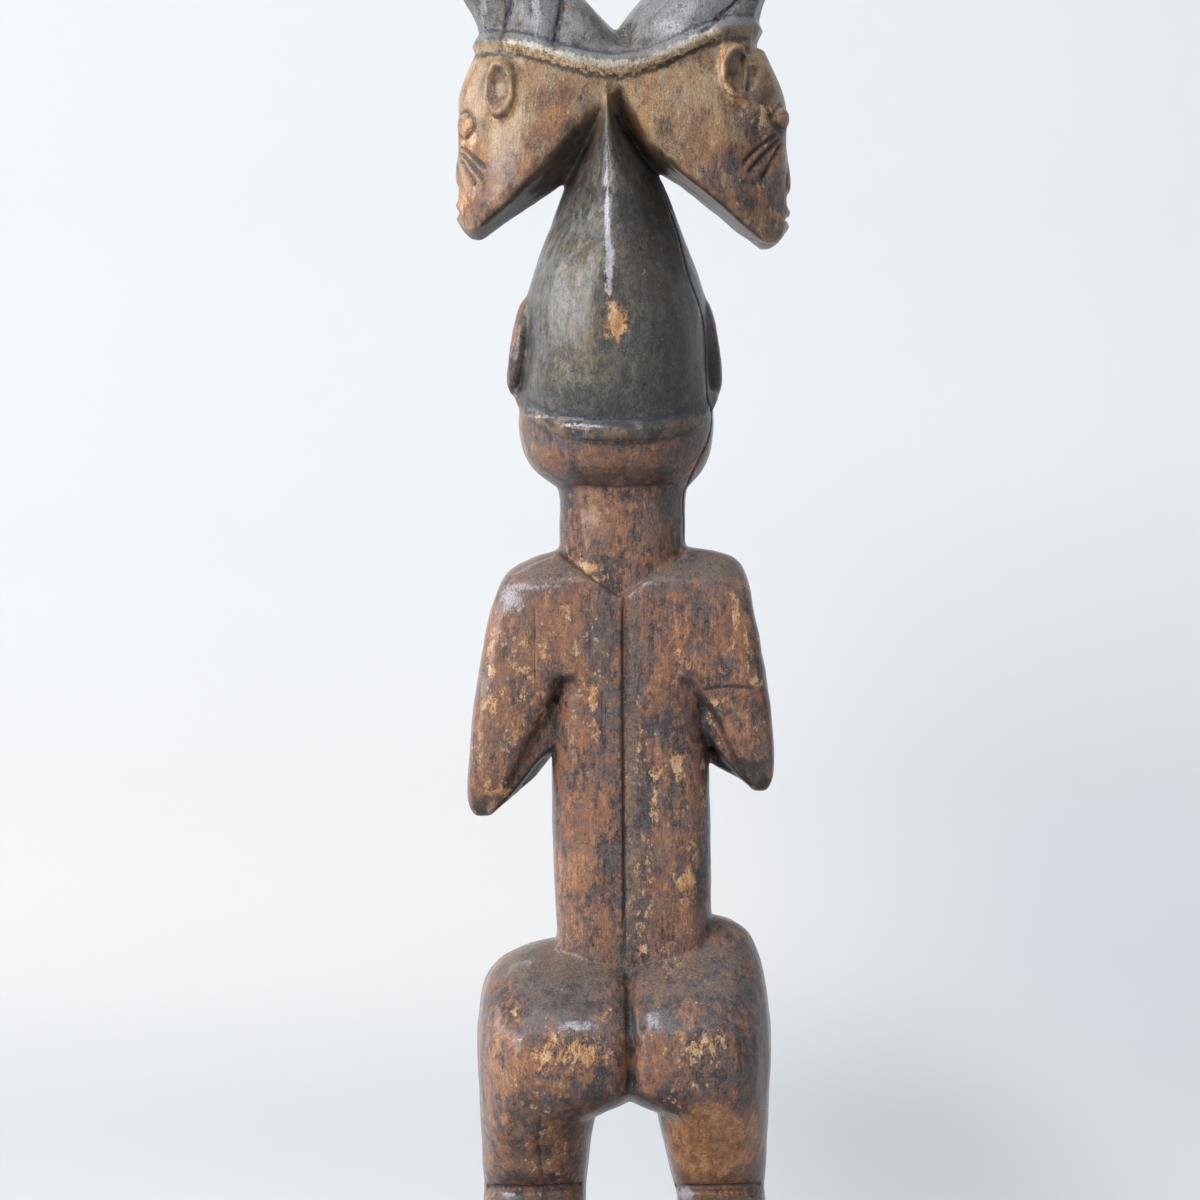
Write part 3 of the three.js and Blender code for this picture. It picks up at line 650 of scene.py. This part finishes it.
def lay_finishes(staff, cuts):
    """Writes on the skin where hair, hems, hollows, worn edges, dust and bare wood are, and where shade and
    highlights are painted.
    """
    spots, facing, ends = places(staff), facings(staff), edge_ends(staff)
    even = np.ones(len(spots))
    across, down = seen_at(spots)
    close = eased(spots, ends, even * 0.6, 6)
    wide = eased(spots, ends, even * 0.6, 40)
    fold = eased(((close - spots) * facing).sum(1), ends, even * 0.5, 2)
    form = eased(((wide - spots) * facing).sum(1), ends, even * 0.5, 2)
    x, y, z = spots.T

    rise = z - hem_height(spots)
    own_rise = np.where(z < TWINS_MM + 2, z - hairline_height(spots), RISE_MM)
    above_hem = step(rise, -1, 1)
    own_hair = step(inside(across, down, HAIR), -2, 1)
    crown = step(own_rise, -4, -3) * own_hair * (z < 486)
    mark(staff, "hair", np.maximum(above_hem, crown))
    mark(staff, "rise", rise / RISE_MM / 2 + 0.5)
    mark(staff, "own_rise", np.where(own_hair > 0.5, own_rise, -RISE_MM) / RISE_MM / 2 + 0.5)
    mark(staff, "worn_hem", 1 - step(np.abs(x + 4), 30, 42))
    at_hem = np.maximum(1 - step(np.abs(rise), 4, 6), (1 - step(np.abs(own_rise), 4, 6)) * own_hair)
    collar = (z > 298) & (z < 330) & (np.abs(x) < 32)
    mark(staff, "cut", cut_marks(spots, facing, cuts))
    # Darkening of hollows and creases, less at the collar's notch and below the knees: black patina that lies there,
    # and in part painted shade.
    mark(staff, "recess_patina_and_shade", (step(fold, 0.08, 0.35) * 0.7 + step(form, 0.7, 2.4) * 0.5) * np.where(collar, 0.35, 1)
         * np.where(z < KNEE_MM, 0.5, 1))
    of_ears = (z > 374) & (z < 420) & (np.abs(x + 2) > 30)
    worn = step(-fold, 0.09, 0.3) * 0.8 + step(-form, 0.8, 2.4) * 0.3
    mark(staff, "edge", worn * (1 - at_hem) * np.where(of_ears | (z < INSTEP_MM), 0.3, 1))
    back = step(-facing[:, 1], -0.1, 0.35)
    # Away from her back the marks come from noise alone; the crests get more of the grey that is in part painted
    # sheen.
    elsewhere = {"warm_and_painted_light": 0.35 + 1.3 * unevenness(spots * (1, 1, 0.45), 17, 31),
                 "patina_and_shade": 0.1 + 1.5 * unevenness(spots * (1, 1, 0.5), 24, 32) + 0.25 * (z > TWINS_MM),
                 "bloom_and_sheen": 1.1 * unevenness(spots * (1, 1, 0.6), 20, 33) + 0.3 * (z > CREST_MM),
                 "bare_and_painted_light": 0.7 * unevenness(spots * (1, 1, 0.5), 13, 34) + np.where(z < SHOULDER_MM - 2, 0.1, -0.15)}
    for name, marks in (("bare_and_painted_light", BARE_AND_PAINTED_LIGHT), ("warm_and_painted_light", WARM_AND_PAINTED_LIGHT), ("patina_and_shade", BLACK_PATINA_AND_SHADE), ("bloom_and_sheen", BLOOM_AND_SHEEN), ("painted_highlight", PAINTED_HIGHLIGHTS)):
        seen = rubbed(spots, across, down, marks, 0.3 if name == "painted_highlight" else 1)
        mark(staff, name, seen * back + np.clip(elsewhere.get(name, even * 0), 0, 1) * (1 - back))
    up = np.where(z < WAIST_MM, step(facing[:, 2], 0.35, 0.85), step(facing[:, 2], 0.2, 0.7))
    spine = step(x, 1.0, 1.6) * (1 - step(x, 4.6, 7.4)) * (z < SPINE_TOP_MM) * (z > SPINE_FOOT_MM) * back
    mark(staff, "dust", up * (z < SHOULDER_MM) + spine)
    mark(staff, "twins", step(z, TWINS_MM, TWINS_MM + 4) * (1 - above_hem) * (1 - crown))
    # Painted shade on the undersides: points facing down are darkened, least under the chin and skull and below the
    # seat.
    under = np.where(z > TWINS_MM, step(-facing[:, 2], 0.3, 0.75) * 0.8,
                     step(-facing[:, 2], 0.2, 0.6))
    under = under * np.where(((z > SHOULDER_MM - 2) & (z < SKULL_MM)) | (z < SEAT_MM), 0.25, 1)
    mark(staff, "underside_shade", under)


# Finishes.


class Finish:
    """A wood finish while its layers are put together."""

    def __init__(self, name):
        self.material = bpy.data.materials.new(name)
        self.material.use_nodes = True
        self.tree = self.material.node_tree
        self.shader = self.tree.nodes["Principled BSDF"]

    def node(self, kind, inputs=(), output=0, **settings):
        made = self.tree.nodes.new(kind)
        for name, value in settings.items():
            setattr(made, name, value)
        for name, value in dict(inputs).items():
            self.feed(made.inputs[name], value)
        return made.outputs[output]

    def feed(self, socket, value):
        if isinstance(value, bpy.types.NodeSocket):
            self.tree.links.new(value, socket)
        else:
            socket.default_value = value

    def where(self, name):
        return self.node("ShaderNodeAttribute", output="Fac", attribute_name=name)

    def grain(self, size, along=1.0, detail=3.0, roughness=0.55, seed=0.0):
        """Noise with lumps of about size in mm, drawn out along the grain."""
        spot = self.node("ShaderNodeTexCoord", output="Object")
        drawn = self.node("ShaderNodeMapping", {"Vector": spot, "Scale": (1, 1, 1 / along),
                                               "Location": (seed, seed * 0.37, 0)})
        return self.node("ShaderNodeTexNoise", {"Vector": drawn, "Scale": 1 / (size * MM), "Detail": detail,
                                               "Roughness": roughness})

    def scales(self, size, along=1.0, output="Color", seed=0.0):
        """Small ragged cells of about size in mm, each with a value of its own."""
        spot = self.node("ShaderNodeTexCoord", output="Object")
        drawn = self.node("ShaderNodeMapping", {"Vector": spot, "Scale": (1, 1, 1 / along),
                                               "Location": (seed, seed * 0.37, 0)})
        shake = self.node("ShaderNodeTexNoise", {"Vector": drawn, "Scale": 1 / (size * MM * 0.8), "Detail": 4.0,
                                                "Roughness": 0.8}, output="Color")
        torn = self.tree.nodes.new("ShaderNodeVectorMath")
        torn.operation = "MULTIPLY_ADD"
        self.feed(torn.inputs[0], shake)
        torn.inputs[1].default_value = (size * MM * 1.5,) * 3
        self.feed(torn.inputs[2], drawn)
        return self.node("ShaderNodeTexVoronoi", {"Vector": torn.outputs[0], "Scale": 1 / (size * MM)}, output=output)

    def ramp(self, value, stops):
        """A row of colours that a value runs through."""
        made = self.tree.nodes.new("ShaderNodeValToRGB")
        colours = made.color_ramp.elements
        while len(colours) < len(stops):
            colours.new(0.5)
        for entry, (place, colour) in zip(colours, stops):
            entry.position = place
            entry.color = (*colour, 1)
        self.feed(made.inputs["Fac"], value)
        return made.outputs["Color"]

    def maths(self, kind, first, second=0.0, third=0.0):
        made = self.tree.nodes.new("ShaderNodeMath")
        made.operation = kind
        for socket, value in zip(made.inputs, (first, second, third)):
            self.feed(socket, value)
        return made.outputs[0]

    def between(self, value, low, high, start=0.0, end=1.0):
        return self.node("ShaderNodeMapRange", {"Value": value, "From Min": low, "From Max": high, "To Min": start,
                                               "To Max": end}, interpolation_type="SMOOTHSTEP")

    def blend(self, under, over, share):
        mix = self.tree.nodes.new("ShaderNodeMix")
        mix.data_type = "RGBA"
        self.feed(mix.inputs[0], share)
        for socket, value in ((mix.inputs[6], under), (mix.inputs[7], over)):
            self.feed(socket, value if isinstance(value, bpy.types.NodeSocket) else (*value, 1))
        return mix.outputs[2]

    def times(self, *values):
        product = values[0]
        for value in values[1:]:
            product = self.maths("MULTIPLY", product, value)
        return product

    def plus(self, *values):
        total = values[0]
        for value in values[1:]:
            total = self.maths("ADD", total, value)
        return total


def tone(red, green, blue):
    """A colour as a paint card gives it, 0 to 255, turned into shares of light."""
    return tuple((v / 255 / 12.92) if v < 10.3 else ((v / 255 + 0.055) / 1.055) ** 2.4 for v in (red, green, blue))


# Tones of the wood from the thickest black patina to bare wood.
BODY_TONES = [(0.0, (28, 24, 26)), (0.18, (50, 39, 39)), (0.34, (80, 57, 51)), (0.48, (108, 73, 56)),
              (0.62, (134, 88, 60)), (0.8, (158, 110, 72)), (1.0, (190, 144, 98))]
HEAD_TONES = [(0.0, (46, 34, 30)), (0.16, (84, 62, 46)), (0.34, (118, 90, 64)), (0.52, (148, 114, 78)),
              (0.7, (168, 134, 92)), (0.85, (186, 152, 108)), (1.0, (206, 172, 126))]
HAIR_TONES = [(0.0, (24, 24, 26)), (0.22, (38, 37, 36)), (0.42, (58, 54, 48)), (0.58, (78, 72, 60)),
              (0.78, (98, 87, 68)), (1.0, (126, 110, 82))]


def worn_wood_and_painted_light():
    # The worn, waxed wood, with painted shade and highlights in its colour.
    finish = Finish("worn_waxed_wood_with_painted_light")
    hair, recess_patina_and_shade, edge, cut = (finish.where(n) for n in ("hair", "recess_patina_and_shade", "edge", "cut"))
    bare_and_painted_light, warm_and_painted_light, dark_patina_and_shade = (finish.where(n) for n in ("bare_and_painted_light", "warm_and_painted_light", "patina_and_shade"))
    bloom_and_sheen, painted_highlight, dust = (finish.where(n) for n in ("bloom_and_sheen", "painted_highlight", "dust"))
    twins, underside_shade, worn_hem = (finish.where(n) for n in ("twins", "underside_shade", "worn_hem"))
    fibres = finish.grain(0.7, 8, 5, 0.7)
    streaks = finish.grain(3.2, 5, 5, 0.7, 3.1)
    blots = finish.grain(8, 1.8, 6, 0.72, 7.7)
    clouds = finish.grain(24, 1.5, 4, 0.55, 1.9)
    specks = finish.grain(0.55, 1.2, 3, 0.8, 5.3)
    crumbs = finish.grain(2.2, 1.4, 6, 0.8, 9.1)
    mist = finish.grain(6, 1.6, 6, 0.76, 12.3)
    flakes = finish.scales(2.4, 1.5, seed=4.2)
    motes = finish.scales(1.5, 1.2, "Distance", 8.4)
    wood = finish.maths("SUBTRACT", 1.0, hair)

    def tones(rows):
        return [(place, tone(*colour)) for place, colour in rows]

    # How thin the patina is worn, from 0 to 1; the darkening of hollows and the black marks lower it, in part as
    # painted shade.
    thin = finish.plus(finish.times(crumbs, 2.8), finish.times(blots, 1.3), finish.times(streaks, 1.0),
                       finish.times(fibres, 0.5), finish.times(specks, 0.5), finish.times(flakes, 0.26),
                       finish.times(warm_and_painted_light, 0.24), finish.times(dark_patina_and_shade, -0.26), finish.times(recess_patina_and_shade, -0.25),
                       finish.times(edge, 0.16), -2.71)
    body = finish.ramp(thin, tones(BODY_TONES))
    # Grey patches of wax bloom; the bloom marks add painted sheen to them.
    misty = finish.between(finish.plus(mist, finish.times(bloom_and_sheen, 0.14), finish.times(specks, 0.25)), 0.62, 0.74)
    body = finish.blend(body, tone(90, 80, 79), finish.times(misty, 0.65))
    rusty = finish.plus(blots, finish.times(crumbs, 0.5), finish.times(warm_and_painted_light, 0.1))
    rust = finish.times(finish.between(rusty, 0.78, 0.9), 0.55)
    body = finish.blend(body, tone(136, 82, 50), rust)
    body = finish.blend(body, tone(146, 108, 84), finish.times(finish.between(warm_and_painted_light, 0.5, 0.9), 0.3))
    body = finish.blend(body, finish.blend(tone(150, 98, 60), tone(204, 146, 94), finish.between(
        finish.plus(crumbs, streaks), 0.85, 1.2)), finish.times(finish.between(
            finish.plus(warm_and_painted_light, finish.times(crumbs, 0.6)), 1.15, 1.3), 0.92))

    # The carried heads' marbled tones, darker in hollows and under the black marks, in part as painted shade.
    marbled = finish.plus(finish.times(mist, 1.9), finish.times(blots, 1.3), finish.times(crumbs, 1.0),
                          finish.times(flakes, 0.14), finish.times(dark_patina_and_shade, -0.3), finish.times(recess_patina_and_shade, -0.3),
                          finish.times(edge, 0.16), finish.times(specks, 0.3), finish.times(warm_and_painted_light, -0.1), -1.72)
    light = finish.ramp(marbled, tones(HEAD_TONES))
    ruddy = finish.between(finish.plus(warm_and_painted_light, finish.times(blots, 1.4), finish.times(crumbs, 0.8)), 1.36, 1.76)
    light = finish.blend(light, finish.ramp(marbled, tones(BODY_TONES)), finish.times(ruddy, 0.82))
    light = finish.blend(light, tone(136, 126, 110), finish.times(misty, 0.5))
    light = finish.blend(light, tone(150, 98, 52), finish.times(rust, 0.8))
    light = finish.blend(light, tone(176, 150, 108), finish.times(finish.between(
        finish.plus(streaks, finish.times(mist, 0.6), finish.times(fibres, 0.3)), 1.04, 1.16), 0.45))
    body = finish.blend(body, light, twins)
    # Painted shade: the undersides turn a near-black brown.
    body = finish.blend(body, tone(34, 29, 28), finish.times(underside_shade, 0.85))

    coat = finish.ramp(finish.plus(thin, finish.times(warm_and_painted_light, 0.05)), tones(HAIR_TONES))
    browned = finish.times(finish.between(clouds, 0.46, 0.6), finish.between(crumbs, 0.4, 0.56),
                           finish.between(bloom_and_sheen, 0.3, 0.9, 0.7, 0.2))
    coat = finish.blend(coat, tone(84, 60, 42), browned)
    # Darker hair under the black marks: patina, and painted shade on the right-hand side of her coiffure.
    coat = finish.blend(coat, tone(34, 31, 30), finish.times(dark_patina_and_shade, finish.between(mist, 0.3, 0.6, 0.3, 0.6)))
    # Painted sheen on the crests: a pale grey where the bloom marks are strong.
    coat = finish.blend(coat, tone(130, 133, 138), finish.times(misty, finish.plus(0.15, finish.times(bloom_and_sheen, 0.7))))
    coat = finish.blend(coat, tone(22, 23, 48), finish.between(finish.plus(cut, finish.times(crumbs, 0.5)), 0.7, 1.1))
    colour = finish.blend(body, coat, hair)

    # The hem of the carried heads, then the rim of her own hair, by how far each point lies above its middle.
    def band(rise, low, high, soft=0.8):
        return finish.times(finish.between(rise, low, low + soft), finish.between(rise, high, high + soft, 1, 0))

    def rise_of(name, shake):
        height = finish.maths("MULTIPLY", finish.maths("SUBTRACT", finish.where(name), 0.5), 2.0 * RISE_MM)
        return finish.plus(height, finish.times(finish.maths("SUBTRACT", shake, 0.5), 7.0))

    rise = rise_of("rise", crumbs)
    worn = finish.between(finish.plus(finish.times(worn_hem, 0.5), finish.times(clouds, 0.6),
                                      finish.times(crumbs, 0.9)), 0.86, 1.0)
    tan = finish.ramp(finish.plus(thin, 0.16), tones(HEAD_TONES[2:]))
    tan = finish.blend(tan, tone(196, 168, 130), finish.between(finish.plus(streaks, specks), 0.98, 1.12))
    colour = finish.blend(colour, tone(30, 24, 22), finish.times(band(rise, -5.8, -4.0), 0.85))
    colour = finish.blend(colour, tan, finish.times(band(rise, -3.9, -0.4), worn, 0.95))
    # The middle of the hem's roll turns pale in patches: worn wood with a painted highlight.
    pale_top_patches = finish.between(finish.plus(mist, finish.times(flakes, 0.12), finish.times(crumbs, 0.3)), 0.56, 0.7)
    colour = finish.blend(colour, tone(190, 183, 171), finish.times(band(rise, -1.7, 0.8), worn, pale_top_patches, 0.9))
    colour = finish.blend(colour, tone(118, 119, 118), finish.times(band(rise, 0.6, 3.0), 0.6))
    colour = finish.blend(colour, tone(24, 24, 58), finish.times(band(rise, 3.2, 4.6),
                                                                 finish.between(mist, 0.4, 0.5), 0.9))
    own = rise_of("own_rise", crumbs)
    colour = finish.blend(colour, tone(28, 23, 22), finish.times(band(own, -5.4, -4.2), 0.8))
    colour = finish.blend(colour, tone(122, 92, 62), finish.times(band(own, -3.6, 0.6), finish.between(
        finish.plus(mist, finish.times(flakes, 0.1)), 0.54, 0.6), 0.8))
    colour = finish.blend(colour, tone(20, 20, 50), finish.times(band(own, 3.0, 4.6), 0.85))

    worn_edge = finish.between(finish.plus(edge, finish.times(crumbs, 1.8), finish.times(flakes, 0.3)), 1.86, 2.0)
    colour = finish.blend(colour, tone(160, 114, 74), finish.times(worn_edge, wood, 0.7))
    ragged = finish.plus(bare_and_painted_light, finish.times(crumbs, 2.4), finish.times(specks, 0.8), finish.times(flakes, 0.4), -1.8)
    rubbed_thin = finish.between(ragged, 0.5, 0.66)
    chip = finish.between(ragged, 0.7, 0.76)
    colour = finish.blend(colour, tone(146, 100, 64), finish.times(rubbed_thin, 0.6))
    fleck = finish.between(finish.plus(flakes, fibres), 0.7, 1.3)
    pale = finish.blend(tone(180, 126, 80), tone(208, 160, 110), fleck)
    colour = finish.blend(colour, pale, finish.times(chip, 0.95))
    near_bare = finish.plus(finish.times(bare_and_painted_light, 0.25), finish.times(clouds, 0.2), finish.times(flakes, 0.05), -0.03)
    close_by = finish.maths("SUBTRACT", near_bare, finish.times(motes, 0.35))
    scattered = finish.times(finish.between(close_by, 0.06, 0.09), finish.between(flakes, 0.72, 0.76))
    colour = finish.blend(colour, tone(196, 166, 130), finish.times(scattered, 0.75))
    # Near-black in the deepest hollows, less on the carried heads: patina, and in part painted shade.
    colour = finish.blend(colour, tone(22, 18, 18), finish.times(finish.between(recess_patina_and_shade, 0.55, 1.0), wood,
                                                              finish.between(twins, 0, 1, 0.75, 0.45)))
    dark_cut = finish.between(finish.plus(cut, finish.times(crumbs, 0.8)), 0.95, 1.35)
    colour = finish.blend(colour, tone(20, 16, 16), finish.times(dark_cut, wood, 0.72))
    # Painted highlight: a pale bluish white where the highlight marks lie.
    highlight_patches = finish.between(finish.plus(painted_highlight, finish.times(crumbs, 1.6), finish.times(specks, 0.6)), 1.5, 1.9)
    colour = finish.blend(colour, tone(182, 184, 194), finish.times(highlight_patches, painted_highlight, 0.85))
    settled = finish.plus(dust, finish.times(crumbs, 1.0), finish.times(blots, 1.2), finish.times(dark_patina_and_shade, -0.2))
    dusty = finish.times(finish.between(settled, 1.62, 2.15), 0.66)
    dust_tone = finish.blend(tone(84, 74, 68), tone(116, 102, 88), finish.between(specks, 0.4, 0.6))
    colour = finish.blend(colour, dust_tone, dusty)
    grit = finish.times(finish.between(specks, 0.4, 0.6, 0.72, 1.28), finish.between(fibres, 0.38, 0.6, 0.88, 1.1),
                        finish.between(finish.plus(specks, crumbs), 1.1, 1.2, 1.0, 0.6),
                        finish.between(finish.plus(fibres, streaks), 0.78, 0.88, 0.62, 1.0))
    gritty = finish.tree.nodes.new("ShaderNodeVectorMath")
    gritty.operation = "SCALE"
    finish.feed(gritty.inputs[0], colour)
    finish.feed(gritty.inputs["Scale"], grit)
    finish.feed(finish.shader.inputs["Base Color"], gritty.outputs[0])

    dull = finish.plus(finish.between(blots, 0.35, 0.65, 0.2, 0.36), finish.times(dusty, 0.3),
                       finish.times(chip, 0.25), finish.times(specks, 0.12), finish.times(painted_highlight, -0.1),
                       finish.times(underside_shade, 0.4))
    finish.feed(finish.shader.inputs["Roughness"], dull)
    finish.shader.inputs["Specular IOR Level"].default_value = 0.6
    finish.shader.inputs["Coat Weight"].default_value = 0.35
    finish.shader.inputs["Coat Roughness"].default_value = 0.16
    height = finish.plus(finish.times(fibres, 0.4), finish.times(specks, 0.3), finish.times(crumbs, 1.2))
    bump = finish.node("ShaderNodeBump", {"Height": height, "Strength": 0.9, "Distance": 0.0008}, output="Normal")
    finish.feed(finish.shader.inputs["Normal"], bump)
    return finish.material


# The studio.


def pale_surround():
    """A round floor that sweeps up into a pale wall on every side."""
    profile = [(0.0, 0.0), (1.3, 0.0), (1.8, 0.03), (2.3, 0.14), (2.7, 0.36), (3.0, 0.7), (3.15, 1.1), (3.2, 1.7),
               (3.2, 3.0)]
    mesh = bpy.data.meshes.new("pale_surround")
    surround = bpy.data.objects.new("pale_surround", mesh)
    bpy.context.scene.collection.objects.link(surround)
    mesh.from_pydata([(r, 0, z) for r, z in profile], [(i, i + 1) for i in range(len(profile) - 1)], [])
    only(surround)
    bpy.ops.object.mode_set(mode="EDIT")
    bpy.ops.mesh.select_all(action="SELECT")
    bpy.ops.mesh.spin(steps=72, angle=2 * math.pi, center=(0, 0, 0), axis=(0, 0, 1))
    bpy.ops.mesh.select_all(action="SELECT")
    bpy.ops.mesh.remove_doubles(threshold=1e-4)
    bpy.ops.mesh.normals_make_consistent(inside=True)
    bpy.ops.object.mode_set(mode="OBJECT")
    bpy.ops.object.shade_smooth()
    paper = Finish("pale_paper")
    cloudy = paper.grain(500, 1, 2)
    spot = paper.node("ShaderNodeTexCoord", output="Object")
    aside, behind, high = (paper.node("ShaderNodeSeparateXYZ", {"Vector": spot}, axis) for axis in "XYZ")
    low = paper.between(high, 0.0, 0.5, 1, 0)
    wall = paper.blend(tone(228, 231, 234), tone(232, 234, 236), cloudy)
    wall = paper.blend(wall, tone(230, 228, 228), paper.times(low, 0.8))
    # Painted shade: the wall darkens towards the right-hand side, away from the lamps, most of all low down.
    wall = paper.blend(wall, tone(223, 227, 231), paper.between(aside, 0.0, 1.4))
    wall = paper.blend(wall, tone(208, 212, 217), paper.times(paper.between(aside, 0.0, 0.4), low))
    # Painted shadow of the figure: the floor is darker in a strip just right of the middle.
    floor = paper.blend(tone(203, 206, 209), tone(184, 187, 191), paper.between(aside, 0.0, 0.15))
    floor = paper.blend(floor, tone(204, 207, 211), paper.between(aside, 0.17, 0.32))
    colour = paper.blend(floor, wall, paper.between(behind, 0.8, 2.0))
    # Painted shade: the side behind the camera is a darker grey, so less light is reflected from there.
    colour = paper.blend(tone(140, 142, 144), colour, paper.between(behind, -0.9, 0.1))
    paper.feed(paper.shader.inputs["Base Color"], colour)
    paper.shader.inputs["Roughness"].default_value = 0.9
    surround.data.materials.append(paper.material)


def lamp(name, place, aim, size, power, colour):
    light = bpy.data.lights.new(name, "AREA")
    light.shape = "RECTANGLE"
    light.size, light.size_y = size
    light.energy = power
    light.color = colour
    holder = bpy.data.objects.new(name, light)
    bpy.context.scene.collection.objects.link(holder)
    holder.location = place
    holder.visible_camera = False
    holder.rotation_euler = (Vector(aim) - Vector(place)).to_track_quat("-Z", "Y").to_euler()


def light_studio():
    world = bpy.data.worlds.new("soft_room")
    bpy.context.scene.world = world
    world.use_nodes = True
    sky = world.node_tree.nodes["Background"]
    sky.inputs["Color"].default_value = (0.975, 0.99, 1, 1)
    sky.inputs["Strength"].default_value = 0.42
    middle = (0, 0, 0.33)
    lamp("left_window", (-1.6, -1.3, 1.0), middle, (1.2, 1.2), 47, (1, 0.985, 0.965))
    lamp("side_window", (-1.9, 0.1, 1.0), middle, (1.4, 0.7), 20, (1, 0.99, 0.98))
    lamp("high_window", (-0.3, -1.2, 1.9), middle, (1.4, 1.0), 17, (0.95, 0.98, 1))
    lamp("roof_light", (0, 0, 2.1), middle, (1.4, 1.4), 7, (0.95, 0.98, 1))
    lamp("wall_wash", (-1.0, 1.5, 2.5), (-0.4, 3.2, 0.5), (1.2, 1.2), 24, (0.985, 0.995, 1))
    bpy.context.scene.view_settings.view_transform = "Standard"


make_camera()
pale_surround()
light_studio()
staff, cuts = carved_skin()
lay_finishes(staff, cuts)
staff.data.materials.clear()
staff.data.materials.append(worn_wood_and_painted_light())
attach(staff, "root")
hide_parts("carved_staff")
